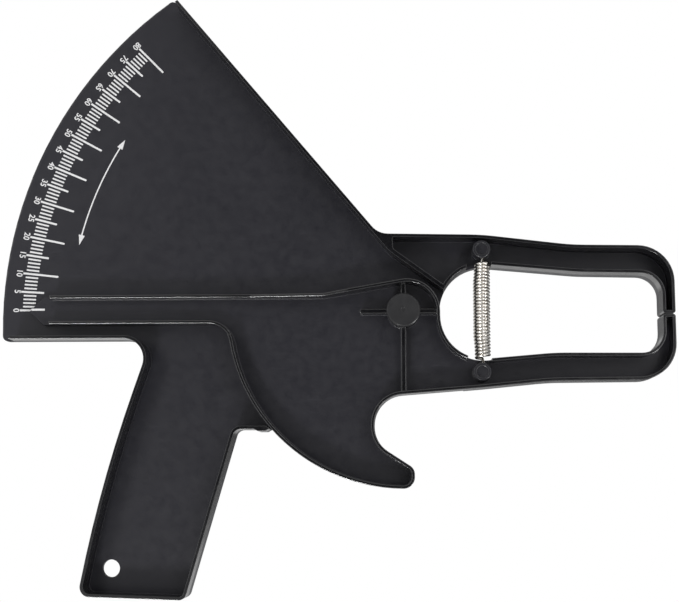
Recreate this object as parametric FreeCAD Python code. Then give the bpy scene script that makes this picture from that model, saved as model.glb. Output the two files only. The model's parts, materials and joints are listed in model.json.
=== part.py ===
import FreeCAD, Part
import math
import os

# Skinfold caliper: a frame (handle, dial plate and upper jaw) and a lever (pointer
# arm, trigger and lower jaw) that turn on one pivot and are pulled together by a
# coil spring.  Millimetres.  Outlines are drawn in the plane of the caliper, with
# x to the right, z up and the pivot at 0, 0.  Depth is counted from the back of
# the frame towards the front.  At the end everything moves to the row's frame,
# whose origin is the middle of the hanging hole.

V = FreeCAD.Vector
PIVOT = V(0, 0, 0)

# ---- driving dimensions -----------------------------------------------------

# depths and walls
total_depth = 15.0        # back of the frame to the front of its rims
frame_floor = 2.5         # thickness of the frame's plate
frame_wall = 1.2          # thickness of the frame's outer walls
lever_plate = 2.2         # thickness of the lever's plate
lever_wall = 1.2          # thickness of the lever's rims
running_gap = 0.05        # radial clearance of the lever on its pin

# dial
dial_radius = 165.6       # pivot to the curved edge
dial_wall_radius = 160.0  # the side walls stop here, short of the curved edge
dial_bottom = -10.9       # straight lower edge
dial_side_offset = 12.3   # pivot to the line of the upper straight edge
dial_side_angle = 130.0   # direction of that edge
dial_corner = 3.0         # rounding of the plate's two outer corners
dial_edge_round = 0.9     # rounding of the curved edge's front

# handle
handle_left_x = -101.2    # left side, where it would meet the dial's lower edge
handle_right_x = -67.2    # right side, where it would meet the frame's lower edge
handle_top = -47.3        # lower edge of the frame between handle and lever
handle_bend_x = -120.8    # bend in the left side
handle_bend_z = -69.5
handle_foot_left_x = -128.6
handle_foot_left_z = -112.8
handle_foot_right_x = -86.3
handle_foot_right_z = -114.1
handle_throat_round = 8.3
handle_bend_round = 540.0
handle_left_round = 4.0
handle_right_round = 3.2
web_lap = 2.6             # how far the frame's lower edge runs on behind the lever
web_round = 1.5
hang_hole_x = -117.9
hang_hole_z = -102.5
hang_hole_radius = 3.5
lug_width = 5.8           # small lug under the frame's lower edge
lug_drop = 0.8
lug_slope = 1.4           # its ends lean in by this much

# jaws
jaw_plane = -1.9          # where the two jaw faces meet
jaw_gap = 0.2             # left between the faces at rest
tip_x = 107.9             # outer side of the tips
tip_width = 4.9           # width of a jaw face
tip_round = 1.1
tip_corner = 14.5         # outer bend of a jaw
tip_inner_corner = 8.7    # inner bend of a jaw
throat_x = 14.7           # left end of the space between the jaws
throat_round = 17.4
upper_root_rise = 6.5     # spring pin to the jaw's outer edge, at the dial's side
upper_bend_rise = 5.7     # and over the pin
upper_outer_middle_x = 67.4
upper_outer_middle_z = 25.9
upper_outer_right = 25.3
upper_inner_drop = 4.6    # spring pin to the jaw's inner edge
upper_inner_middle_x = 70.0
upper_inner_middle_z = 14.9
upper_inner_right = 14.2
upper_root_round = 8.5
lower_inner_rise = 3.6    # spring pin to the lower jaw's inner edge
lower_inner_middle_x = 60.0
lower_inner_middle_z = -17.4
lower_inner_right = -17.6
lower_bend_drop = 6.3     # spring pin to its outer edge
lower_outer_middle_x = 58.0
lower_outer_middle_z = -28.5
lower_outer_right = -28.1
jaw_bend_round = 100.0    # the jaws' long bends
lower_skirt_x = 24.0      # right of this the lower jaw is as deep as the upper one

# hub of the frame
recess_offset = 16.1      # pivot to the slanted wall between hub and upper jaw
recess_angle = 144.0      # direction of that wall
recess_wall = 1.6
recess_round = 12.0
recess_clearance = 0.8    # frame walls to the lever's curved edge
pocket_x = -4.2           # left end of the upper jaw's pocket
pocket_round = 2.0

# lever
lever_radius = 70.8       # curved lower edge, about the pivot
lever_throat_round = 9.5
hub_height = 15.1         # height at which arm and throat would meet over the hub
hub_round = 13.2
arm_top = 7.1
arm_bottom = -4.6
arm_rise_x = -32.0        # here the arm's upper edge turns up to the hub
arm_rise_round = 12.0
arm_rib_height = 5.6      # rims of the pointer arm, over the plate
arm_rib_low_x = -62.0     # left of this the rims have that height
arm_rib_full_x = -22.0    # right of this they reach the front
pointer_apex_x = -153.5
pointer_rib_x = -144.2    # the rims stop here, the plate runs on as the pointer
pointer_round = 0.4
notch_left_x = -11.85     # bottom of the finger notch
notch_upper_z = -34.55    # where the jaw's lower edge would meet it
notch_lower_z = -52.65    # where the trigger's upper edge would meet it
notch_round = 12.0
trigger_tip_x = 4.2       # end of the trigger
trigger_tip_z = -63.0
trigger_tip_upper_round = 4.0
trigger_tip_round = 4.5

# ribs on the lever, about the hub
rib_width = 1.9
rib_height = 5.4
left_rib_end = 17.6
left_rib_round = 0.9

# pivot
pivot_shaft_radius = 4.0
pivot_head_radius = 6.8
pivot_head_height = 2.8
pivot_head_proud = 0.3    # head over the rims
pivot_head_bevel = 0.5
pivot_mark_radius = 0.9
pivot_mark_depth = 0.35
sleeve_radius = 6.5       # lever's sleeve on the pin
sleeve_play = 0.2         # sleeve's end to the pin's head
washer_radius = 9.5
washer_height = 0.6
washer_play = 0.05        # between the washer and the lever
rear_boss_radius = 8.5
rear_boss_height = 1.0
spigot_radius = 2.5
retainer_radius = 6.4
retainer_height = 1.4
retainer_bevel = 0.4

# spring and its pins
post_radius = 39.95       # pivot to both spring pins
upper_post_angle = 37.9
lower_post_angle = -38.4
spring_drop = 3.2         # under the pins' heads to the spring's axis
wire_radius = 0.55
coil_radius = 2.75        # axis to the middle of the wire
coil_turns = 30
upper_hook = 4.2          # upper pin to the first turn
lower_hook = 6.2          # last turn to the lower pin
hook_leg = 1.6            # free end of each hook, past the middle of the pin
neck_radius = 1.9
post_head_radius = 3.65
post_head_height = 2.2
post_head_drop = 0.4      # head under the rims
post_dish_radius = 2.5
post_dish_depth = 0.45
post_head_bevel = 0.35
post_boss_radius = 3.6
upper_boss_height = 3.4   # over the frame's plate
lower_boss_height = 1.6   # over the lever's plate
post_spigot_radius = 1.5
post_sink = 0.5           # how far the pins go into the plates
spring_swing = 23.5       # degrees it leans, seen from either pin, at full opening
spring_slot_play = 0.5    # beside the coil
spring_slot_gap = 0.3     # under the coil

# cutting shapes
beyond = 1.0              # how far they reach past what they cut
match = 0.001             # two lengths closer than this are the same


# ---- plane geometry ---------------------------------------------------------

def polar(radius, angle):
    """Point at that distance and direction (degrees) from the pivot."""
    turn = math.radians(angle)
    return V(radius * math.cos(turn), 0, radius * math.sin(turn))


def line(start, end):
    return Part.LineSegment(start, end).toShape()


def arc(start, middle, end):
    return Part.Arc(start, middle, end).toShape()


def arc_about(centre, start, end, radius):
    """Short arc round a centre."""
    middle = (start + end) * 0.5 - centre
    middle.normalize()
    return arc(start, centre + middle * radius, end)


def rounded_chain(corners):
    """Edges along (point, radius) pairs, each inner corner rounded."""
    edges = []
    here = corners[0][0]
    for index in range(1, len(corners) - 1):
        point, radius = corners[index]
        back = (corners[index - 1][0] - point).normalize()
        on = (corners[index + 1][0] - point).normalize()
        half = back.getAngle(on) / 2
        start = point + back * (radius / math.tan(half))
        end = point + on * (radius / math.tan(half))
        middle = (back + on).normalize() * (radius / math.sin(half) - radius) + point
        edges.append(line(here, start))
        edges.append(arc(start, middle, end))
        here = end
    edges.append(line(here, corners[-1][0]))
    return edges


def rounded_loop(corners):
    """Face inside (point, radius) pairs, every corner rounded."""
    start = (corners[0][0] + corners[-1][0]) * 0.5
    chain = [(start, 0)] + corners + [(start, 0)]
    return Part.Face(Part.Wire(rounded_chain(chain)))


def line_point(offset, angle, along):
    """Point of the line in that direction which passes the pivot at an offset."""
    return polar(along, angle) + polar(offset, angle - 90)


def along_at_height(offset, angle, height):
    """How far along that line a height is reached."""
    turn = math.radians(angle)
    return (height + offset * math.cos(turn)) / math.sin(turn)


def along_at_x(offset, angle, x):
    """How far along that line an x is reached."""
    turn = math.radians(angle)
    return (x - offset * math.sin(turn)) / math.cos(turn)


def crossing(first, second):
    """Where two lines, each given as (offset, angle), cross."""
    normal = polar(1, second[1] - 90)
    way = polar(1, first[1])
    start = line_point(first[0], first[1], 0)
    return start + way * ((second[0] - start.dot(normal)) / way.dot(normal))


# ---- solids -----------------------------------------------------------------

def prism(face, back, front):
    """Face pushed from one depth to another."""
    solid = face.extrude(V(0, back - front, 0))
    solid.translate(V(0, -back, 0))
    return solid


def disc(centre, radius, back, front):
    return Part.makeCylinder(radius, front - back, centre + V(0, -back, 0), V(0, -1, 0))


def block(low_x, high_x, low_z, high_z, back, front):
    return Part.makeBox(high_x - low_x, front - back, high_z - low_z,
                        V(low_x, -front, low_z))


def rim(face, thickness):
    """The band inside a face's edge."""
    return face.cut(face.makeOffset2D(-thickness))


def front_edges(solid, depth, radius):
    """Round edges of a disc that lie at a depth and have that radius."""
    found = []
    for edge in solid.Edges:
        round_edge = isinstance(edge.Curve, Part.Circle)
        if round_edge and abs(edge.Curve.Radius - radius) < match:
            if abs(edge.Curve.Center.y + depth) < match:
                found.append(edge)
    return found


# ---- places that several pieces share ---------------------------------------

lever_back = frame_floor + washer_height + washer_play
lever_floor = lever_back + lever_plate
tip_inner_x = tip_x - tip_width
upper_post = polar(post_radius, upper_post_angle)
lower_post = polar(post_radius, lower_post_angle)
head_back = total_depth + pivot_head_proud - pivot_head_height
sleeve_front = head_back - sleeve_play
post_head_front = total_depth - post_head_drop
post_head_back = post_head_front - post_head_height
dial_rim_inner = dial_side_offset - frame_wall
coil_outer = coil_radius + wire_radius
spring_depth = post_head_back - spring_drop
slot_floor = spring_depth - coil_outer - spring_slot_gap
lug_right_x = -math.sqrt((lever_radius + recess_clearance) ** 2 - handle_top ** 2)
web_end_x = lug_right_x + web_lap
upper_outer_left = upper_post.z + upper_root_rise
upper_outer_bend = upper_post + V(0, 0, upper_bend_rise)
upper_outer_middle = V(upper_outer_middle_x, 0, upper_outer_middle_z)
upper_inner_left = upper_post.z - upper_inner_drop
upper_inner_middle = V(upper_inner_middle_x, 0, upper_inner_middle_z)
lower_inner_left = lower_post.z + lower_inner_rise
lower_inner_middle = V(lower_inner_middle_x, 0, lower_inner_middle_z)
lower_outer_bend = lower_post - V(0, 0, lower_bend_drop)
lower_outer_middle = V(lower_outer_middle_x, 0, lower_outer_middle_z)
past_front = total_depth + beyond
past_all = dial_radius * 2


# ---- frame ------------------------------------------------------------------

def web_corner():
    """Where the hidden edge of the frame, tangent to its hub, meets the throat."""
    end = V(web_end_x, 0, handle_top)
    to_pivot = math.atan2(-end.z, -end.x)
    slope = math.tan(to_pivot - math.asin(throat_x / end.Length))
    return V(throat_x, 0, end.z + (throat_x - end.x) * slope)


def frame_corners():
    """Corners of the frame from the dial's lower edge round to its upper edge."""
    side = line_point(dial_side_offset, dial_side_angle,
                      along_at_height(dial_side_offset, dial_side_angle, upper_outer_left))
    return [
        (V(handle_left_x, 0, dial_bottom), handle_throat_round),
        (V(handle_bend_x, 0, handle_bend_z), handle_bend_round),
        (V(handle_foot_left_x, 0, handle_foot_left_z), handle_left_round),
        (V(handle_foot_right_x, 0, handle_foot_right_z), handle_right_round),
        (V(handle_right_x, 0, handle_top), handle_right_round),
        (V(web_end_x, 0, handle_top), web_round),
        (web_corner(), throat_x),
        (V(throat_x, 0, upper_inner_left), throat_round),
        (upper_inner_middle, jaw_bend_round),
        (V(tip_inner_x, 0, upper_inner_right), tip_inner_corner),
        (V(tip_inner_x, 0, jaw_plane), tip_round),
        (V(tip_x, 0, jaw_plane), tip_round),
        (V(tip_x, 0, upper_outer_right), tip_corner),
        (upper_outer_middle, jaw_bend_round),
        (upper_outer_bend, jaw_bend_round),
        (side, upper_root_round),
    ]


def frame_plate():
    """Whole outline, with the dial's curved edge."""
    reach = dial_radius - dial_corner
    low_z = dial_bottom + dial_corner
    low = V(-math.sqrt(reach ** 2 - low_z ** 2), 0, low_z)
    side = dial_side_offset - dial_corner
    high = line_point(side, dial_side_angle, math.sqrt(reach ** 2 - side ** 2))
    low_start = V(low.x, 0, dial_bottom)
    high_end = high + polar(dial_corner, dial_side_angle - 90)
    low_end = low * (dial_radius / reach)
    high_start = high * (dial_radius / reach)
    edges = rounded_chain([(low_start, 0)] + frame_corners() + [(high_end, 0)])
    edges.append(arc_about(high, high_end, high_start, dial_corner))
    edges.append(arc_about(PIVOT, high_start, low_end, dial_radius))
    edges.append(arc_about(low, low_end, low_start, dial_corner))
    return Part.Face(Part.Wire(edges))


def frame_walls():
    """Outer walls: the band inside an outline that runs on past the dial's edge."""
    low = V(-past_all, 0, dial_bottom)
    high = line_point(dial_side_offset, dial_side_angle, past_all)
    edges = rounded_chain([(low, 0)] + frame_corners() + [(high, 0)])
    edges.append(line(high, low))
    return prism(rim(Part.Face(Part.Wire(edges)), frame_wall), 0, total_depth)


def dial_end_cut():
    """Clears the walls from the strip along the dial's curved edge."""
    ring = disc(PIVOT, past_all, frame_floor, past_front)
    ring = ring.cut(disc(PIVOT, dial_wall_radius, 0, past_front))
    return ring.common(block(-past_all, 0, dial_bottom - frame_wall, past_all,
                             0, past_front))


def side_block(offset, angle, reach, back, front):
    """Everything on the pivot's side of a slanted line."""
    corners = [line_point(offset, angle, -reach), line_point(offset, angle, reach),
               line_point(-reach, angle, reach), line_point(-reach, angle, -reach)]
    return prism(Part.Face(Part.makePolygon(corners + corners[:1])), back, front)


def hub_meeting():
    """Where the slanted wall beside the hub meets the inside of the dial's side."""
    return crossing((dial_rim_inner, dial_side_angle), (recess_offset, recess_angle))


def lever_clearance():
    """Space in front of the frame's plate that the lever turns in."""
    space = disc(PIVOT, lever_radius + recess_clearance, frame_floor, past_front)
    beside_dial = side_block(dial_rim_inner, dial_side_angle,
                             dial_radius, frame_floor, past_front)
    round_hub = block(-past_all, past_all, -past_all, hub_meeting().z,
                      frame_floor, past_front)
    beside_hub = side_block(recess_offset, recess_angle,
                            dial_radius, frame_floor, past_front)
    return space.common(beside_dial.fuse(round_hub)).common(beside_hub)


def junction():
    """Slanted wall beside the hub and the solid corner where it meets the dial's side."""
    hub_side = (recess_offset, recess_angle)
    jaw_side = (recess_offset + recess_wall, recess_angle)
    past_x = throat_x + throat_round
    high = upper_outer_left + upper_root_round
    meeting = hub_meeting()
    up = meeting.Length + upper_root_round
    corners = [
        (line_point(dial_rim_inner, dial_side_angle, up), pocket_round),
        (meeting, recess_round),
        (line_point(*hub_side, along_at_x(*hub_side, past_x)), recess_wall / 4),
        (line_point(*jaw_side, along_at_x(*jaw_side, past_x)), recess_wall / 4),
        (line_point(*jaw_side, along_at_x(*jaw_side, pocket_x)), pocket_round),
        (V(pocket_x, 0, high), pocket_round),
    ]
    return prism(rounded_loop(corners), 0, total_depth)


def spring_slot(post, inner_edge, floor):
    """Gap in a jaw's inner wall where the spring passes and swings."""
    lean = math.radians(spring_swing)
    reach = abs(post.z - inner_edge) * math.tan(lean)
    left = post.x - reach - coil_outer / math.cos(lean) - spring_slot_play
    right = post.x + coil_outer + spring_slot_play
    return block(left, right, min(post.z, 0), max(post.z, 0), floor, past_front)


def post_boss(post, floor, height):
    return disc(post, post_boss_radius, floor - post_sink, floor + height)


def lug():
    """Small lug under the frame's lower edge, beside the lever."""
    left = lug_right_x - lug_width
    high = handle_top + frame_wall / 2
    low = handle_top - lug_drop
    corners = [V(left, 0, high), V(left, 0, handle_top), V(left + lug_slope, 0, low),
               V(lug_right_x - lug_slope, 0, low), V(lug_right_x, 0, handle_top),
               V(lug_right_x, 0, high)]
    return prism(Part.Face(Part.makePolygon(corners + corners[:1])), 0, total_depth)


def dial_edge_cut():
    """Takes the sharp front off the dial's curved edge."""
    inside = disc(PIVOT, dial_radius, 0, frame_floor)
    inside = inside.makeFillet(dial_edge_round,
                               front_edges(inside, frame_floor, dial_radius))
    ring = disc(PIVOT, past_all, frame_floor / 2, past_front).cut(inside)
    return ring.common(block(-past_all, 0, dial_bottom, past_all, 0, past_front))


def make_frame():
    outline = frame_plate()
    plate = prism(outline, 0, frame_floor).cut(dial_edge_cut())
    whole = prism(outline, 0, total_depth)
    walls = frame_walls().cut(lever_clearance()).fuse(junction())
    walls = walls.common(whole).cut(dial_end_cut())
    walls = walls.cut(spring_slot(upper_post, upper_inner_left, slot_floor))
    solid = plate.fuse([walls, post_boss(upper_post, frame_floor, upper_boss_height),
                        lug(), disc(PIVOT, rear_boss_radius, -rear_boss_height, 0)])
    solid = solid.cut([disc(PIVOT, pivot_shaft_radius, -rear_boss_height, frame_floor),
                       disc(V(hang_hole_x, 0, hang_hole_z), hang_hole_radius,
                            0, frame_floor),
                       disc(upper_post, post_spigot_radius, frame_floor - post_sink,
                            total_depth)])
    return solid.removeSplitter()


# ---- lever ------------------------------------------------------------------

def lever_outline():
    """The lever, from the arm round the hub, the jaw and the trigger."""
    centre_z = (arm_top + arm_bottom) / 2
    shoulder_x = pointer_apex_x + (arm_top - arm_bottom) / 2
    throat_z = arm_bottom - lever_throat_round
    throat_reach = lever_radius + lever_throat_round
    throat = V(-math.sqrt(throat_reach ** 2 - throat_z ** 2), 0, throat_z)
    arm_start = V(throat.x, 0, arm_bottom)
    curve_end = throat * (lever_radius / throat_reach)
    tip_reach = lever_radius - trigger_tip_round
    tip_side = trigger_tip_x - trigger_tip_round
    tip = V(tip_side, 0, -math.sqrt(tip_reach ** 2 - tip_side ** 2))
    tip_end = V(trigger_tip_x, 0, tip.z)
    curve_start = tip * (lever_radius / tip_reach)
    edges = rounded_chain([
        (arm_start, 0),
        (V(shoulder_x, 0, arm_bottom), pointer_round),
        (V(pointer_apex_x, 0, centre_z), pointer_round),
        (V(shoulder_x, 0, arm_top), pointer_round),
        (V(arm_rise_x, 0, arm_top), arm_rise_round),
        (V(throat_x, 0, hub_height), hub_round),
        (V(throat_x, 0, lower_inner_left), throat_round),
        (lower_inner_middle, jaw_bend_round),
        (V(tip_inner_x, 0, lower_inner_right), tip_inner_corner),
        (V(tip_inner_x, 0, jaw_plane - jaw_gap), tip_round),
        (V(tip_x, 0, jaw_plane - jaw_gap), tip_round),
        (V(tip_x, 0, lower_outer_right), tip_corner),
        (lower_outer_middle, jaw_bend_round),
        (lower_outer_bend, jaw_bend_round),
        (V(notch_left_x, 0, notch_upper_z), notch_round),
        (V(notch_left_x, 0, notch_lower_z), notch_round),
        (V(trigger_tip_x, 0, trigger_tip_z), trigger_tip_upper_round),
        (tip_end, 0),
    ])
    edges.append(arc_about(tip, tip_end, curve_start, trigger_tip_round))
    edges.append(arc_about(PIVOT, curve_start, curve_end, lever_radius))
    edges.append(arc_about(throat, curve_end, arm_start, lever_throat_round))
    return Part.Face(Part.Wire(edges))


def arm_taper():
    """What is cut off the front of the arm's rims so that they fall to the pointer."""
    low = lever_floor + arm_rib_height
    left = pointer_apex_x - beyond
    points = [V(left, -low, 0), V(arm_rib_low_x, -low, 0),
              V(arm_rib_full_x, -total_depth, 0), V(arm_rib_full_x, -past_front, 0),
              V(left, -past_front, 0)]
    face = Part.Face(Part.makePolygon(points + points[:1]))
    solid = face.extrude(V(0, 0, lever_radius))
    solid.translate(V(0, 0, arm_bottom - lever_throat_round / 2))
    return solid


def lever_ribs():
    """Four ribs that tie the sleeve to the rims."""
    half = rib_width / 2
    front = lever_floor + rib_height
    up = block(-half, half, 0, hub_round - lever_wall, lever_floor, front)
    right = block(0, throat_x - lever_wall / 2, -half, half, lever_floor, front)
    down = block(-half, half, notch_upper_z + lever_wall, 0, lever_floor, front)
    left = block(-left_rib_end + left_rib_round, 0, -half, half, lever_floor, front)
    left_end = disc(V(-left_rib_end + left_rib_round, 0, 0), half, lever_floor, front)
    return [up, right, down, left, left_end]


def make_lever():
    outline = lever_outline()
    band = rim(outline, lever_wall)
    plate = prism(outline, lever_back, lever_floor)
    walls = prism(band, lever_back, total_depth).cut([
        block(pointer_apex_x, pointer_rib_x, arm_bottom, arm_top,
              lever_floor, past_front),
        arm_taper(),
        spring_slot(lower_post, lower_inner_left, lever_floor)])
    skirt = prism(band, 0, lever_back)
    skirt = skirt.common(block(lower_skirt_x, past_all, -past_all, 0, 0, lever_back))
    sleeve = disc(PIVOT, sleeve_radius, lever_back, sleeve_front)
    boss = post_boss(lower_post, lever_floor, lower_boss_height)
    solid = plate.fuse([walls, skirt, sleeve, boss] + lever_ribs())
    solid = solid.cut([disc(PIVOT, pivot_shaft_radius + running_gap, 0, total_depth),
                       disc(lower_post, post_spigot_radius, lever_floor - post_sink,
                            total_depth)])
    return solid.removeSplitter()


# ---- pivot ------------------------------------------------------------------

def make_pivot_pin():
    """Headed pin: pressed into the frame, running in the lever's sleeve."""
    head_front = total_depth + pivot_head_proud
    head = disc(PIVOT, pivot_head_radius, head_back, head_front)
    head = head.makeChamfer(pivot_head_bevel,
                            front_edges(head, head_front, pivot_head_radius))
    shaft = disc(PIVOT, pivot_shaft_radius, -rear_boss_height, head_back)
    spigot = disc(PIVOT, spigot_radius, -rear_boss_height - retainer_height, 0)
    mark = disc(PIVOT, pivot_mark_radius, head_front - pivot_mark_depth, head_front)
    return head.fuse([shaft, spigot]).cut(mark).removeSplitter()


def make_pivot_washer():
    ring = disc(PIVOT, washer_radius, frame_floor, lever_back)
    return ring.cut(disc(PIVOT, pivot_shaft_radius + running_gap, 0, total_depth))


def make_pivot_retainer():
    """Cap pressed on the pin's spigot behind the frame."""
    back = -rear_boss_height - retainer_height
    cap = disc(PIVOT, retainer_radius, back, -rear_boss_height)
    cap = cap.makeChamfer(retainer_bevel, front_edges(cap, back, retainer_radius))
    return cap.cut(disc(PIVOT, spigot_radius, back, 0))


# ---- spring -----------------------------------------------------------------

def make_spring_pin(post, floor, boss_height):
    """Headed pin pressed into a boss; the spring's hook goes round its neck."""
    head = disc(post, post_head_radius, post_head_back, post_head_front)
    head = head.makeChamfer(post_head_bevel,
                            front_edges(head, post_head_front, post_head_radius))
    dish = disc(post, post_dish_radius, post_head_front - post_dish_depth, total_depth)
    neck = disc(post, neck_radius, floor + boss_height,
                post_head_front - post_dish_depth)
    spigot = disc(post, post_spigot_radius, floor - post_sink,
                  floor + boss_height + post_sink)
    return head.cut(dish).fuse([neck, spigot]).removeSplitter()


def spring_length():
    return (upper_post - lower_post).Length


def coil_length():
    return spring_length() - upper_hook - lower_hook


def seat_spring(shape):
    """From upright on the lower pin to its place between the pins."""
    lean = V(0, 0, 1).getAngle(upper_post - lower_post)
    side = 1 if upper_post.x > lower_post.x else -1
    shape.rotate(V(0, 0, 0), V(0, 1, 0), math.degrees(lean) * side)
    shape.translate(lower_post + V(0, -spring_depth, 0))
    return shape


def make_spring_coil():
    pitch = coil_length() / coil_turns
    helix = Part.makeHelix(pitch, coil_length(), coil_radius)
    slope = math.atan2(pitch, 2 * math.pi * coil_radius)
    start = Part.Circle(V(coil_radius, 0, 0),
                        V(0, math.cos(slope), math.sin(slope)), wire_radius)
    section = Part.Wire([start.toShape()])
    coil = Part.Wire(helix.Edges).makePipeShell([section], True, True)
    coil.translate(V(0, 0, lower_hook))
    return seat_spring(coil)


def hook(length):
    """Hook that stands on a pin at 0, its leg reaching up to the coil."""
    section = Part.Circle(V(coil_radius, 0, 0), V(0, 0, 1), wire_radius)
    face = Part.Face(Part.Wire([section.toShape()]))
    bend = face.revolve(V(0, 0, 0), V(0, 1, 0), 180)
    leg = Part.makeCylinder(wire_radius, length, V(coil_radius, 0, 0))
    tail = Part.makeCylinder(wire_radius, hook_leg, V(-coil_radius, 0, 0))
    return bend.fuse([leg, tail]).removeSplitter()


def make_spring_lower_hook():
    return seat_spring(hook(lower_hook - wire_radius))


def make_spring_upper_hook():
    shape = hook(upper_hook - wire_radius)
    shape.rotate(V(0, 0, 0), V(0, 1, 0), 180)
    shape.rotate(V(0, 0, 0), V(0, 0, 1), 180)
    shape.translate(V(0, 0, spring_length()))
    return seat_spring(shape)


# ---- export -----------------------------------------------------------------

def main():
    to_row = V(-hang_hole_x, frame_floor / 2, -hang_hole_z)
    nodes = {
        "frame": make_frame(),
        "lever": make_lever(),
        "pivot_pin": make_pivot_pin(),
        "pivot_washer": make_pivot_washer(),
        "pivot_retainer": make_pivot_retainer(),
        "upper_spring_pin": make_spring_pin(upper_post, frame_floor, upper_boss_height),
        "lower_spring_pin": make_spring_pin(lower_post, lever_floor, lower_boss_height),
        "spring_coil": make_spring_coil(),
        "spring_upper_hook": make_spring_upper_hook(),
        "spring_lower_hook": make_spring_lower_hook(),
    }
    os.makedirs("parts", exist_ok=True)
    for name, shape in nodes.items():
        shape.translate(to_row)
        shape.exportStep("parts/" + name + ".step")
        print(name, "solids", len(shape.Solids), "valid", shape.isValid(),
              "volume", round(shape.Volume, 1))


main()
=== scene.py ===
import json
import math

import bmesh
import bpy
from mathutils import Matrix, Vector


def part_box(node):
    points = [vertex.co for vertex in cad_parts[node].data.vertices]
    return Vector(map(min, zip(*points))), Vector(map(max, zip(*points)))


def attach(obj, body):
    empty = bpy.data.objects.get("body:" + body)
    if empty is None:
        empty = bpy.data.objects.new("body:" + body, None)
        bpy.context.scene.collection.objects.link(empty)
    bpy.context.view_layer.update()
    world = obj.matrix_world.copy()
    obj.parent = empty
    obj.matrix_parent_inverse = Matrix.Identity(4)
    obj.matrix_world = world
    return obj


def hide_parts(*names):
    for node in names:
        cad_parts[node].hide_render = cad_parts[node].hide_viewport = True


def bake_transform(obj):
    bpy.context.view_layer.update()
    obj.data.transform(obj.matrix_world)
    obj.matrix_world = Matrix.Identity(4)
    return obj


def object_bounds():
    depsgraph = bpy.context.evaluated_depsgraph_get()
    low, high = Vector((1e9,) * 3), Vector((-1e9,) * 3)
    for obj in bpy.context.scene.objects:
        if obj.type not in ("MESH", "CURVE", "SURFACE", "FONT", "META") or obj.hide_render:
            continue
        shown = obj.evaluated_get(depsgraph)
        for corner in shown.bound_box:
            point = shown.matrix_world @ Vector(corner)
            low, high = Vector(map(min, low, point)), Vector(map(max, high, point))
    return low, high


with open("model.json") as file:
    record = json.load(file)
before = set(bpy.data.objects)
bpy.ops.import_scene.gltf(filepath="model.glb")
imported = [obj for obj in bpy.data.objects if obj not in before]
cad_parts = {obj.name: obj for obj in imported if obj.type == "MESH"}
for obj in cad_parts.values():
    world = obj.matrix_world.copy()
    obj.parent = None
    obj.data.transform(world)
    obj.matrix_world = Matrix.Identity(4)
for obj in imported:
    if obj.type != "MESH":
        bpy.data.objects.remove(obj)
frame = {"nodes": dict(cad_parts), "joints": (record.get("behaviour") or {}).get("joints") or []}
cad_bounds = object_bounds()

# Skinfold caliper.  Metres, in the row's frame: x to the right, z up, and the front of
# the caliper looks along -y.  Depth is counted forward from the back of the frame's plate.

MM = 0.001

# ---- places, read from the frame ---------------------------------------------

joints = {joint["name"]: joint for joint in frame["joints"]}
pivot = Vector(joints["lever_pivot"]["pos_m"])
spring_y = joints["spring_swing"]["pos_m"][1]
back_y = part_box("lever")[1].y   # back of the frame's plate, where the lower jaw ends too


def middle(node):
    low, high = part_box(node)
    return (low + high) / 2


upper_pin = middle("upper_spring_pin")
lower_pin = middle("lower_spring_pin")

# ---- print: sizes ----------------------------------------------------------------

plate = 2.5 * MM            # front of the dial's plate, from the back
lever_floor = 5.35 * MM     # front of the lever's plate
ink = 0.03 * MM             # how far the print stands on a plate
ink_sunk = 0.02 * MM        # and how far it reaches into it
weld = ink / 10             # points closer than this are the same

zero_angle = 179.25         # direction of the scale's zero from the pivot, degrees
angle_per_mm = 0.56
scale_end = 80
ten_step = 10               # millimetres between the longest ticks
five_step = 5               # and between the numbers
unit_tick_outer = 157.2 * MM
long_tick_outer = 158.4 * MM
unit_tick = 151.9 * MM      # inner ends of the three kinds of tick
five_tick = 148.8 * MM
ten_tick = 143.6 * MM
tick_width = 0.66 * MM
long_tick_width = 0.8 * MM
tick_tip = 0.5              # width of a tick's inner end, of its own
tick_nip = 0.25             # length over which it narrows, of its width
number_radius = 159.9 * MM
number_height = 2.55 * MM
number_stretch = 0.92
number_bold = 0.018         # how much fatter the digits are, of the font's size
number_steps = 6            # corners to each curve of a digit

arrow_radius = 137.5 * MM
arrow_start = 147.6         # directions of its two tips, degrees
arrow_end = 167.7
arrow_width = 0.55 * MM
arrow_head_length = 4.2 * MM
arrow_head_width = 2.6 * MM
arrow_steps = 48

index_outer = -153.1 * MM   # white line on the pointer, from the pivot
index_inner = -147.3 * MM
index_z = 1.95 * MM
index_width = 0.85 * MM

# ---- spring: sizes ---------------------------------------------------------------

wire_radius = 0.625 * MM
coil_radius = 2.87 * MM     # axis to the middle of the wire
coil_turns = 29
coil_shift = 0.05 * MM      # how far the turns hang right of the pins
end_radius = 2.61 * MM      # the same two for the first and the last turn
end_shift = 0.36 * MM
end_turns = 6               # turns at each end over which both change
droop = 0.5 * MM            # the lowest turn's left side hangs this much lower
droop_turns = 9             # turns over which that fades
upper_hook = 4.75 * MM      # upper pin to the coil
lower_hook = 6.2 * MM       # coil to the lower pin
hook_radius = 2.55 * MM
hook_tail = 1.6 * MM        # free end of each hook, past the middle of its pin
leg_share = 0.75            # a leg is behind the axis at this share of its way
leg_tuck = 0.7              # the lower one less far, to clear the lever

steps_per_turn = 28
coil_steps = coil_turns * steps_per_turn
coil_start = 0.25           # the coil starts at its back, in turns from its right side
hook_steps = 16
wire_order = 3              # of the smoothly bending curve
wire_steps = 2              # its points between two given ones
wire_facets = 3             # roundness of the wire

# ---- materials: numbers ------------------------------------------------------------

# Noises are so many cells to the metre, and most of each lies between these values.
noise_low = 0.3
noise_high = 0.7

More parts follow.
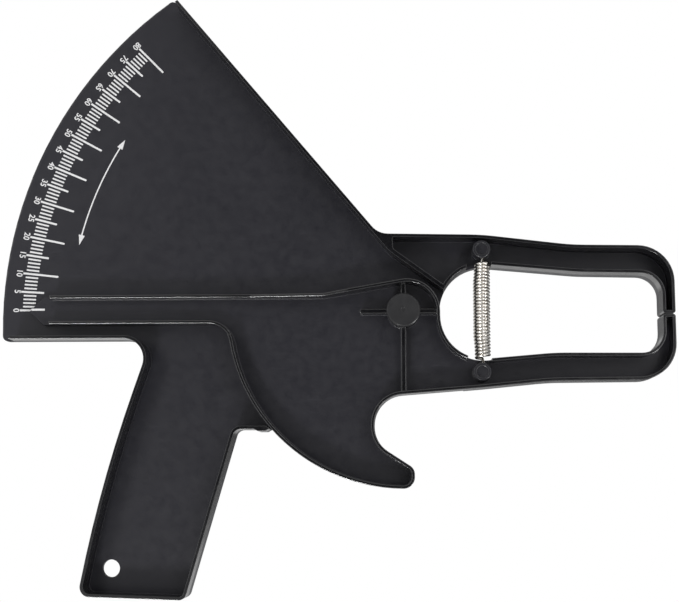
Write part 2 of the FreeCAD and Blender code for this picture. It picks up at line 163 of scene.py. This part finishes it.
# black plastic
body_dark = (0.0068, 0.0066, 0.0108)
body_light = (0.0090, 0.0088, 0.0132)
body_shine = 0.37           # roughness of the plates
pin_dark = (0.010, 0.010, 0.011)
pin_light = (0.013, 0.013, 0.014)
pin_shine = 0.36
body_polish_and_painted_shade = 1.0           # how much smoother walls and rims are than plates, and how much painted shade darkens them
# the same amount of smoothness and painted shade for the spring pins and the pivot pins
spring_pin_polish_and_painted_shade = 0.4
pin_polish_and_painted_shade = 0.0
edge_round = 0.3 * MM
lever_edge_round = 0.6 * MM

wall_from = -4.5 * MM       # y where a wall starts to be less rough and painted with shade, and where it is fully so
wall_full = -6.5 * MM
wall_smooth = 0.2           # how much less rough a wall is
wall_painted_shade = 4               # painted shade: how many times darker walls and rims are coloured
plate_specular = 0.5
wall_specular = 1.0
plastic_ior = 1.5

cloud_scale = 22
mottle_scale = 260
grain_scale = 5200
rub_scale = 420
rub_stretch = (0.12, 1, 1.9)
rub_from = 0.63             # noise where a hairline rub starts, and where it is full
rub_full = 0.75
rub_dust = 0.25             # share of dust in a rub
dust_light = 3              # how many times lighter dust is than the plastic
rub_rough = 0.08            # how much rougher a rub is
mottle_below = 0.04         # how far the roughness varies below and above its mean
mottle_above = 0.05
mottle_height = 1.5         # of the bumps, where the grain's is 1
grain_strength = 0.25
grain_depth = 0.012 * MM
edge_smooth = 0.08          # how much less rough a rounded edge is
edge_full = 0.75            # cosine of the lean at which it is fully so
edge_samples = 10

# spring wire
wire_bright = (0.82, 0.80, 0.76)
wire_stained = (0.66, 0.62, 0.56)
stain_scale = 700
stain_from = 0.35           # noise where a stain starts, and where it is full
stain_full = 0.75
wire_shine = (0.14, 0.2)    # roughness, least and most, as for the next ones
mark_scale = 9000
mark_strength = 0.15
mark_depth = 0.006 * MM

# ink
ink_thin = (0.5, 0.5, 0.5)
ink_thick = (0.68, 0.68, 0.68)
cover_scale = 2600
cover_from = 0.25           # noise where the ink is thinnest, and where it is full
cover_full = 0.5
ink_shine = (0.42, 0.55)
cover_strength = 0.2
cover_depth = 0.01 * MM

# nylon
nylon_dark = (0.62, 0.61, 0.57)
nylon_light = (0.7, 0.69, 0.65)
nylon_scale = 500
nylon_shine = (0.4, 0.5)
nylon_milk = 0.1            # share of light scattered inside, and how far
nylon_reach = (MM, MM, MM)

# ---- stage: sizes and light --------------------------------------------------------

floor_drop = 1600 * MM      # floor below the hanging caliper
floor_half = 14.0
floor_seen = 0.7            # how far the floor looks plain white
paper_dark = (0.84, 0.84, 0.84)
paper_light = (0.87, 0.87, 0.87)
paper_scale = 3
paper_rough = 0.85

white = (1, 1, 1)
studio_front = 0.8          # the studio before the caliper and behind it, white is 1
studio_behind = 0.7
front_end = 0.1             # y of a direction where the front ends
behind_full = 0.6           # and where the part behind is full
studio_right = 0.1          # share of that on the right
right_from = -0.06          # x of a direction where the right begins
right_full = 0.12           # and where it is full
studio_hole = 0.04          # the dark place round the camera
hole_way = (-0.03, -0.985, 0.12)
hole_full = 0.985           # cosines of its inner and outer half-angle
hole_end = 0.945
card_share = 0.35           # a grey card behind the caliper, share of the studio there
card_way = (-0.19, 0.975, 0.12)
card_full = 0.997
card_end = 0.988

# Lamps: place from the pivot, size across and up, and brightness, where white is 1.
key_size = (0.25, 1.8)
key_colour = (0.97, 0.96, 1.0)
key_left_place = (-0.75, -1.1, 0.1)
key_left_glow = 1.5
key_right_place = (0.6, -1.2, 0.1)
key_right_glow = 2.0
low_right_place = (0.55, -0.1, -0.5)
low_right_size = (0.22, 0.22)
low_right_glow = 14
low_left_place = (-0.46, -1.25, -1.15)
low_left_size = (0.32, 0.3)
low_left_glow = 50

camera_place = Vector((0.12104, -0.60349, 0.03337))
camera_way = Vector((-0.0448, 0.98827, 0.146))
camera_lens = 78.62
camera_sensor = 36.0
camera_shift = (-0.0072, -0.0521)


# ---- node helpers ----------------------------------------------------------------

def new_material(name):
    """Material with a plain Principled surface; returns it, its nodes and its shader."""
    material = bpy.data.materials.new(name)
    material.use_nodes = True
    tree = material.node_tree
    tree.nodes.clear()
    out = tree.nodes.new("ShaderNodeOutputMaterial")
    shader = tree.nodes.new("ShaderNodeBsdfPrincipled")
    tree.links.new(shader.outputs["BSDF"], out.inputs["Surface"])
    return material, tree, shader


def noise(tree, scale, detail=3.0, roughness=0.55, stretch=(1, 1, 1)):
    """Noise in object space, so many cells to the metre."""
    place = tree.nodes.new("ShaderNodeTexCoord")
    mapping = tree.nodes.new("ShaderNodeMapping")
    mapping.inputs["Scale"].default_value = stretch
    texture = tree.nodes.new("ShaderNodeTexNoise")
    texture.inputs["Scale"].default_value = scale
    texture.inputs["Detail"].default_value = detail
    texture.inputs["Roughness"].default_value = roughness
    tree.links.new(place.outputs["Object"], mapping.inputs["Vector"])
    tree.links.new(mapping.outputs["Vector"], texture.inputs["Vector"])
    return texture.outputs["Fac"]


def remap(tree, value, low, high, start, end):
    """Value between low and high turned into start to end."""
    node = tree.nodes.new("ShaderNodeMapRange")
    node.inputs["From Min"].default_value = low
    node.inputs["From Max"].default_value = high
    node.inputs["To Min"].default_value = start
    node.inputs["To Max"].default_value = end
    tree.links.new(value, node.inputs["Value"])
    return node.outputs["Result"]


def spread(tree, texture, start, end):
    """A noise turned into start to end."""
    return remap(tree, texture, noise_low, noise_high, start, end)


def math_node(tree, operation, first, second):
    node = tree.nodes.new("ShaderNodeMath")
    node.operation = operation
    for socket, value in zip(node.inputs, (first, second)):
        if isinstance(value, (int, float)):
            socket.default_value = value
        else:
            tree.links.new(value, socket)
    return node.outputs["Value"]


def times(tree, first, second):
    return math_node(tree, "MULTIPLY", first, second)


def dot_product(tree, first):
    """Node for the dot product of a direction with another one, which is still to be set."""
    node = tree.nodes.new("ShaderNodeVectorMath")
    node.operation = "DOT_PRODUCT"
    tree.links.new(first, node.inputs[0])
    return node


def mix_colour(tree, factor, first, second):
    """Mix of two colours; a Mix node has its colour sockets at places 6, 7 and 2."""
    node = tree.nodes.new("ShaderNodeMix")
    node.data_type = "RGBA"
    tree.links.new(factor, node.inputs["Factor"])
    for socket, value in ((node.inputs[6], first), (node.inputs[7], second)):
        if isinstance(value, tuple):
            socket.default_value = (*value, 1)
        else:
            tree.links.new(value, socket)
    return node.outputs[2]


def mix_shaders(tree, factor, first, second):
    node = tree.nodes.new("ShaderNodeMixShader")
    for socket, value in zip(node.inputs, (factor, first, second)):
        tree.links.new(value, socket)
    return node.outputs["Shader"]


def bump(tree, height, strength, distance, normal=None):
    node = tree.nodes.new("ShaderNodeBump")
    node.inputs["Strength"].default_value = strength
    node.inputs["Distance"].default_value = distance
    tree.links.new(height, node.inputs["Height"])
    if normal is not None:
        tree.links.new(normal, node.inputs["Normal"])
    return node.outputs["Normal"]


def soft_edges(tree, radius):
    """Normal that runs round the edges, and how far it leans there."""
    edge = tree.nodes.new("ShaderNodeBevel")
    edge.samples = edge_samples
    edge.inputs["Radius"].default_value = radius
    geometry = tree.nodes.new("ShaderNodeNewGeometry")
    dot = dot_product(tree, edge.outputs["Normal"])
    tree.links.new(geometry.outputs["Normal"], dot.inputs[1])
    lean = remap(tree, dot.outputs["Value"], 1.0, edge_full, 0.0, 1.0)
    return edge.outputs["Normal"], lean


# ---- materials --------------------------------------------------------------------

def raised(tree):
    """1 on walls and rims, which stand in front of the plates, and 0 on the plates."""
    place = tree.nodes.new("ShaderNodeTexCoord")
    split = tree.nodes.new("ShaderNodeSeparateXYZ")
    tree.links.new(place.outputs["Object"], split.inputs["Vector"])
    return remap(tree, split.outputs["Y"], wall_from, wall_full, 0.0, 1.0)


def plastic_colour(tree, dark, light, rub_mask, smooth_and_painted_shade):
    """Cloudy between dark and light, dusty in the rubs, and darker on walls by painted shade."""
    cloud = noise(tree, cloud_scale, detail=2)
    base = mix_colour(tree, spread(tree, cloud, 0, 1), dark, light)
    dust = tuple(dust_light * part for part in light)
    base = mix_colour(tree, times(tree, rub_mask, rub_dust), base, dust)
    # painted shade: walls and rims coloured darker than the plates
    return mix_colour(tree, smooth_and_painted_shade, base, tuple(part / wall_painted_shade for part in dark))


def plastic_roughness(tree, shine, mottle, rub_mask, smooth_and_painted_shade, lean):
    """Mottled about shine, rougher in the rubs, smoother on walls and edges."""
    rough = spread(tree, mottle, shine - mottle_below, shine + mottle_above)
    rough = math_node(tree, "ADD", rough, times(tree, rub_mask, rub_rough))
    rough = math_node(tree, "SUBTRACT", rough, times(tree, smooth_and_painted_shade, wall_smooth))
    return math_node(tree, "SUBTRACT", rough, times(tree, lean, edge_smooth))


def black_plastic(name, dark, light, shine, polish_and_painted_shade, edge_radius):
    """Moulded black plastic: faint cloudiness, fine grain, hairline rubs, round edges.

    The plates are matt, with a roughness of shine; walls and rims are smoother, and
    darker by painted shade, as far as polish says.
    """
    material, tree, shader = new_material(name)
    normal, lean = soft_edges(tree, edge_radius)
    # walls and rims: less rough, and darker by painted shade
    smooth_and_painted_shade = times(tree, raised(tree), polish_and_painted_shade)
    mottle = noise(tree, mottle_scale, detail=4)
    grain = noise(tree, grain_scale, detail=2)
    rubs = noise(tree, rub_scale, detail=5, roughness=0.7, stretch=rub_stretch)
    rub_mask = remap(tree, rubs, rub_from, rub_full, 0.0, 1.0)
    base = plastic_colour(tree, dark, light, rub_mask, smooth_and_painted_shade)
    tree.links.new(base, shader.inputs["Base Color"])
    rough = plastic_roughness(tree, shine, mottle, rub_mask, smooth_and_painted_shade, lean)
    tree.links.new(rough, shader.inputs["Roughness"])
    shader.inputs["Specular IOR Level"].default_value = plate_specular
    if polish_and_painted_shade:
        gloss = remap(tree, smooth_and_painted_shade, 0.0, 1.0, plate_specular, wall_specular)
        tree.links.new(gloss, shader.inputs["Specular IOR Level"])
    height = math_node(tree, "ADD", grain, times(tree, mottle, mottle_height))
    bumps = bump(tree, height, grain_strength, grain_depth, normal)
    tree.links.new(bumps, shader.inputs["Normal"])
    shader.inputs["IOR"].default_value = plastic_ior
    return material


def spring_wire():
    """Bright drawn wire with faint drawing marks and slight tarnish."""
    material, tree, shader = new_material("spring_wire")
    shader.inputs["Metallic"].default_value = 1.0
    stain = noise(tree, stain_scale, detail=4)
    marks = noise(tree, mark_scale, detail=2)
    stained = remap(tree, stain, stain_from, stain_full, 0, 1)
    base = mix_colour(tree, stained, wire_bright, wire_stained)
    tree.links.new(base, shader.inputs["Base Color"])
    tree.links.new(spread(tree, stain, *wire_shine), shader.inputs["Roughness"])
    tree.links.new(bump(tree, marks, mark_strength, mark_depth), shader.inputs["Normal"])
    return material


def white_ink():
    """Pad-printed white, a little thin in places."""
    material, tree, shader = new_material("white_ink")
    cover = noise(tree, cover_scale, detail=4)
    covered = remap(tree, cover, cover_from, cover_full, 0, 1)
    base = mix_colour(tree, covered, ink_thin, ink_thick)
    tree.links.new(base, shader.inputs["Base Color"])
    tree.links.new(spread(tree, cover, *ink_shine), shader.inputs["Roughness"])
    tree.links.new(bump(tree, cover, cover_strength, cover_depth), shader.inputs["Normal"])
    return material


def pale_nylon():
    """Natural nylon of the washer."""
    material, tree, shader = new_material("pale_nylon")
    cloud = noise(tree, nylon_scale, detail=3)
    base = mix_colour(tree, cloud, nylon_dark, nylon_light)
    tree.links.new(base, shader.inputs["Base Color"])
    tree.links.new(spread(tree, cloud, *nylon_shine), shader.inputs["Roughness"])
    shader.inputs["Subsurface Weight"].default_value = nylon_milk
    shader.inputs["Subsurface Radius"].default_value = nylon_reach
    return material


def white_paper():
    """Pale paper, which looks nearly plain white where it is seen."""
    material, tree, shader = new_material("floor_paper")
    shade = noise(tree, paper_scale, detail=2)
    base = mix_colour(tree, shade, paper_dark, paper_light)
    tree.links.new(base, shader.inputs["Base Color"])
    shader.inputs["Roughness"].default_value = paper_rough
    glow = tree.nodes.new("ShaderNodeEmission")
    path = tree.nodes.new("ShaderNodeLightPath")
    seen = times(tree, path.outputs["Is Camera Ray"], floor_seen)
    look = mix_shaders(tree, seen, shader.outputs["BSDF"], glow.outputs["Emission"])
    tree.links.new(look, tree.get_output_node("ALL").inputs["Surface"])
    return material


def dress(node, material):
    """Give a CAD node one material in all its slots."""
    mesh = frame["nodes"][node].data
    if not mesh.materials:
        mesh.materials.append(material)
    for index in range(len(mesh.materials)):
        mesh.materials[index] = material


# ---- meshes --------------------------------------------------------------------------

def mesh_from_curve(curve):
    """The curve as it looks, as a mesh; the curve itself is deleted."""
    holder = bpy.data.objects.new(curve.name, curve)
    bpy.context.scene.collection.objects.link(holder)
    bpy.context.view_layer.update()
    evaluated = holder.evaluated_get(bpy.context.evaluated_depsgraph_get())
    mesh = bpy.data.meshes.new_from_object(evaluated)
    bpy.data.objects.remove(holder)
    bpy.data.curves.remove(curve)
    return mesh


def place_mesh(name, mesh, material):
    """Make the mesh an object of one material."""
    mesh.materials.clear()
    mesh.materials.append(material)
    piece = bpy.data.objects.new(name, mesh)
    bpy.context.scene.collection.objects.link(piece)
    return piece


def finish_piece(name, work, material, body):
    """Make the work an object that rides on a body."""
    bmesh.ops.recalc_face_normals(work, faces=work.faces)
    mesh = bpy.data.meshes.new(name)
    work.to_mesh(mesh)
    work.free()
    piece = place_mesh(name, mesh, material)
    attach(piece, body)


# ---- print on the plates -------------------------------------------------------------

def at(radius, angle):
    """(x, z) at that distance and direction from the pivot."""
    turn = math.radians(angle)
    return pivot.x + radius * math.cos(turn), pivot.z + radius * math.sin(turn)


def add_prism(work, outline, depth):
    """Closed flat solid on a plate's front, from its outline of (x, z) points."""
    fronts = [work.verts.new((x, back_y - depth - ink, z)) for x, z in outline]
    backs = [work.verts.new((x, back_y - depth + ink_sunk, z)) for x, z in outline]
    work.faces.new(fronts)
    work.faces.new(backs[::-1])
    for index, front in enumerate(fronts):
        after = (index + 1) % len(fronts)
        work.faces.new((front, backs[index], backs[after], fronts[after]))


def radial_bar(work, angle, inner, outer, width):
    """Bar along a radius, with a slightly rounded inner end."""
    turn = math.radians(angle)
    way = Vector((math.cos(turn), math.sin(turn)))
    side = Vector((-way.y, way.x)) * (width / 2)
    centre = Vector((pivot.x, pivot.z))
    nip = way * (width * tick_nip)
    low = centre + way * inner
    high = centre + way * outer
    outline = [low + side * tick_tip, low + nip + side, high + side,
               high - side, low + nip - side, low - side * tick_tip]
    add_prism(work, [tuple(point) for point in outline], plate)


def make_scale_ticks(material):
    work = bmesh.new()
    for value in range(scale_end + 1):
        angle = zero_angle - value * angle_per_mm
        if value % ten_step == 0:
            radial_bar(work, angle, ten_tick, long_tick_outer, long_tick_width)
        elif value % five_step == 0:
            radial_bar(work, angle, five_tick, long_tick_outer, long_tick_width)
        else:
            radial_bar(work, angle, unit_tick, unit_tick_outer, tick_width)
    finish_piece("scale_ticks", work, material, "frame")


def number_mesh(text):
    """Digits as a flat solid mesh, lying in x and y, centred on the origin."""
    curve = bpy.data.curves.new("number", "FONT")
    curve.body = text
    curve.align_x = "CENTER"
    curve.extrude = (ink + ink_sunk) / 2 / number_height
    curve.resolution_u = number_steps
    curve.offset = number_bold
    mesh = mesh_from_curve(curve)
    heights = [vertex.co.y for vertex in mesh.vertices]
    low, high = min(heights), max(heights)
    factor = number_height / (high - low)
    for vertex in mesh.vertices:
        vertex.co.x *= factor * number_stretch
        vertex.co.y = (vertex.co.y - (low + high) / 2) * factor
        vertex.co.z *= number_height
    return mesh


def make_scale_numbers(material):
    """0 to 80 in fives; their tops point to the pivot."""
    work = bmesh.new()
    for value in range(0, scale_end + 1, five_step):
        angle = zero_angle - value * angle_per_mm
        mesh = number_mesh(str(value))
        x, z = at(number_radius, angle)
        turn = math.radians(angle)
        up = Vector((-math.cos(turn), 0, -math.sin(turn)))
        out = Vector((0, -1, 0))
        right = up.cross(out)
        basis = Matrix((right, up, out)).transposed().to_4x4()
        place = Vector((x, back_y - plate - (ink - ink_sunk) / 2, z))
        mesh.transform(Matrix.Translation(place) @ basis)
        work.from_mesh(mesh)
        bpy.data.meshes.remove(mesh)
    bmesh.ops.remove_doubles(work, verts=work.verts, dist=weld)
    finish_piece("scale_numbers", work, material, "frame")


def make_scale_arrow(material):
    """Plain double-headed arrow along the scale."""
    work = bmesh.new()
    head = math.degrees(arrow_head_length / arrow_radius)
    low, high = arrow_start + head, arrow_end - head
    inner = arrow_radius - arrow_width / 2
    outer = arrow_radius + arrow_width / 2
    angles = [low + (high - low) * step / arrow_steps for step in range(arrow_steps + 1)]
    for first, second in zip(angles, angles[1:]):
        add_prism(work, [at(inner, first), at(outer, first),
                         at(outer, second), at(inner, second)], plate)
    bmesh.ops.remove_doubles(work, verts=work.verts, dist=weld)
    inner = arrow_radius - arrow_head_width / 2
    outer = arrow_radius + arrow_head_width / 2
    for base, tip in ((low, arrow_start), (high, arrow_end)):
        add_prism(work, [at(inner, base), at(outer, base), at(arrow_radius, tip)], plate)
    finish_piece("scale_arrow", work, material, "frame")


def make_pointer_line(material):
    """White line along the pointer, with a point at its outer end."""
    work = bmesh.new()
    half = index_width / 2
    left, right = pivot.x + index_outer, pivot.x + index_inner
    low, high = pivot.z + index_z - half, pivot.z + index_z + half
    add_prism(work, [(left, pivot.z + index_z), (left + half, low), (right, low),
                     (right, high), (left + half, high)], lever_floor)
    finish_piece("pointer_line", work, material, "lever")


# ---- spring ------------------------------------------------------------------------------

def hook_points(centre_z, start):
    """Half a circle round a pin, in the plane of the caliper, from start in degrees."""
    points = []
    for step in range(hook_steps + 1):
        turn = math.radians(start + 180 * step / hook_steps)
        points.append(Vector((hook_radius * math.cos(turn), 0,
                              centre_z + hook_radius * math.sin(turn))))
    return points


def coil_point(step, coil_length):
    """Point of the coil; the turns at its ends are a little narrower than the others."""
    share = step / steps_per_turn
    turn = 2 * math.pi * (share + coil_start)
    full = min(1.0, share / end_turns, (coil_turns - share) / end_turns) ** 2
    radius = end_radius + (coil_radius - end_radius) * full
    shift = end_shift + (coil_shift - end_shift) * full
    fade = max(0.0, 1 - share / droop_turns)
    sag = droop * fade * fade * (1 - math.cos(turn)) / 2
    return Vector((shift + radius * math.cos(turn), radius * math.sin(turn),
                   lower_hook + coil_length * step / coil_steps - sag))


def spring_points(length):
    """The wire's middle line, upright on the lower pin: hook, turns, hook."""
    coil_length = length - upper_hook - lower_hook
    points = [Vector((-hook_radius, 0, hook_tail))]
    points += hook_points(0, 180)
    points.append(Vector((end_shift, end_radius * leg_tuck, lower_hook * leg_share)))
    points += [coil_point(step, coil_length) for step in range(coil_steps + 1)]
    points.append(Vector((end_shift, end_radius, length - upper_hook * leg_share)))
    points += hook_points(length, 0)
    points.append(Vector((-hook_radius, 0, length - hook_tail)))
    return points


def wire_mesh(points):
    """Round wire along a smoothly bending curve through about these points."""
    curve = bpy.data.curves.new("spring_path", "CURVE")
    curve.dimensions = "3D"
    curve.bevel_depth = wire_radius
    curve.bevel_resolution = wire_facets
    curve.use_fill_caps = True
    curve.resolution_u = wire_steps
    spline = curve.splines.new("NURBS")
    spline.points.add(len(points) - 1)
    for point, target in zip(points, spline.points):
        target.co = (*point, 1)
    spline.order_u = wire_order
    spline.use_endpoint_u = True
    mesh = mesh_from_curve(curve)
    mesh.shade_smooth()
    return mesh


def make_spring(material):
    """One wire between the two spring pins, where they stand."""
    low = Vector((lower_pin.x, spring_y, lower_pin.z))
    high = Vector((upper_pin.x, spring_y, upper_pin.z))
    up = (high - low).normalized()
    away = Vector((0, 1, 0))
    basis = Matrix((away.cross(up), away, up)).transposed().to_4x4()
    upright = Matrix.Translation(low) @ basis
    points = [upright @ point for point in spring_points((high - low).length)]
    spring = place_mesh("spring_wire_coil", wire_mesh(points), material)
    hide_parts("spring_coil", "spring_upper_hook", "spring_lower_hook")
    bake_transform(spring)


# ---- stage ----------------------------------------------------------------------------------

def make_floor():
    low_z = cad_bounds[0].z - floor_drop
    work = bmesh.new()
    corners = ((-1, -1), (1, -1), (1, 1), (-1, 1))
    work.faces.new([work.verts.new((pivot.x + x * floor_half, y * floor_half, low_z))
                    for x, y in corners])
    mesh = bpy.data.meshes.new("floor")
    work.to_mesh(mesh)
    work.free()
    floor = place_mesh("floor", mesh, white_paper())


def nearness(tree, direction, way):
    """Cosine of the angle between a direction and a given way."""
    dot = dot_product(tree, direction)
    dot.inputs[1].default_value = Vector(way).normalized()
    return dot.outputs["Value"]


def studio_light(tree):
    """Brightness of the studio in each direction.

    In front it is even, with a dark place round the camera.  Behind it is darker on the
    right and has the grey card.
    """
    place = tree.nodes.new("ShaderNodeTexCoord")
    direction = place.outputs["Generated"]
    split = tree.nodes.new("ShaderNodeSeparateXYZ")
    tree.links.new(direction, split.inputs["Vector"])
    front = remap(tree, nearness(tree, direction, hole_way),
                  hole_end, hole_full, studio_front, studio_hole)
    card = remap(tree, nearness(tree, direction, card_way),
                 card_end, card_full, studio_behind, studio_behind * card_share)
    side = remap(tree, split.outputs["X"], right_from, right_full, 1.0, studio_right)
    behind = times(tree, side, card)
    share = remap(tree, split.outputs["Y"], front_end, behind_full, 0.0, 1.0)
    behind = times(tree, behind, share)
    front = times(tree, front, math_node(tree, "SUBTRACT", 1.0, share))
    return math_node(tree, "ADD", front, behind)


def make_world():
    """The studio as light on the caliper, and plain white where it is seen."""
    world = bpy.data.worlds.new("studio")
    bpy.context.scene.world = world
    world.use_nodes = True
    tree = world.node_tree
    tree.nodes.clear()
    out = tree.nodes.new("ShaderNodeOutputWorld")
    studio = tree.nodes.new("ShaderNodeBackground")
    tree.links.new(studio_light(tree), studio.inputs["Strength"])
    seen = tree.nodes.new("ShaderNodeBackground")
    for background in (studio, seen):
        background.inputs["Color"].default_value = (*white, 1)
    path = tree.nodes.new("ShaderNodeLightPath")
    look = mix_shaders(tree, path.outputs["Is Camera Ray"],
                       studio.outputs["Background"], seen.outputs["Background"])
    tree.links.new(look, out.inputs["Surface"])


def soft_light(name, place, size, brightness, colour=white):
    """Rectangular softbox that faces the pivot; its surface is that many times white.

    The first size lies level, the second stands square to it.
    """
    light = bpy.data.lights.new(name, "AREA")
    light.shape = "RECTANGLE"
    light.size, light.size_y = size
    light.energy = brightness * math.pi * size[0] * size[1]
    light.color = colour
    lamp = bpy.data.objects.new(name, light)
    lamp.location = pivot + Vector(place)
    back = Vector(place).normalized()
    level = Vector((-back.y, back.x, 0)).normalized()
    rise = back.cross(level).normalized()
    level = rise.cross(back)
    lamp.rotation_mode = "QUATERNION"
    lamp.rotation_quaternion = Matrix((level, rise, back)).transposed().to_quaternion()
    lamp.visible_camera = False
    bpy.context.scene.collection.objects.link(lamp)


def make_lights():
    soft_light("key_left", key_left_place, key_size, key_left_glow, key_colour)
    soft_light("key_right", key_right_place, key_size, key_right_glow, key_colour)
    soft_light("low_right", low_right_place, low_right_size, low_right_glow)
    soft_light("low_left", low_left_place, low_left_size, low_left_glow)


def make_camera():
    camera = bpy.data.cameras.new("camera")
    camera.lens = camera_lens
    camera.sensor_width = camera_sensor
    camera.shift_x, camera.shift_y = camera_shift
    holder = bpy.data.objects.new("camera", camera)
    holder.location = camera_place
    holder.rotation_mode = "QUATERNION"
    holder.rotation_quaternion = camera_way.to_track_quat("-Z", "Y")
    bpy.context.scene.collection.objects.link(holder)
    bpy.context.scene.camera = holder


# ---- put together ---------------------------------------------------------------------------

body_plastic = black_plastic("body_plastic_look", body_dark, body_light,
                             body_shine, body_polish_and_painted_shade, edge_round)
lever_plastic = black_plastic("lever_plastic_look", body_dark, body_light,
                              body_shine, body_polish_and_painted_shade, lever_edge_round)
pin_plastic = black_plastic("pin_plastic_look", pin_dark, pin_light,
                            pin_shine, pin_polish_and_painted_shade, edge_round)
spring_pin_plastic = black_plastic("spring_pin_plastic_look", body_dark, body_light,
                                   body_shine, spring_pin_polish_and_painted_shade, edge_round)
nylon = pale_nylon()
wire = spring_wire()
print_ink = white_ink()

dress("frame", body_plastic)
dress("lever", lever_plastic)
for pin in ("pivot_pin", "pivot_retainer"):
    dress(pin, pin_plastic)
for pin in ("upper_spring_pin", "lower_spring_pin"):
    dress(pin, spring_pin_plastic)
dress("pivot_washer", nylon)
for part in ("spring_coil", "spring_upper_hook", "spring_lower_hook"):
    dress(part, wire)

make_scale_ticks(print_ink)
make_scale_numbers(print_ink)
make_scale_arrow(print_ink)
make_pointer_line(print_ink)
make_spring(wire)

make_floor()
make_world()
make_lights()
make_camera()
bpy.context.scene.view_settings.view_transform = "Standard"
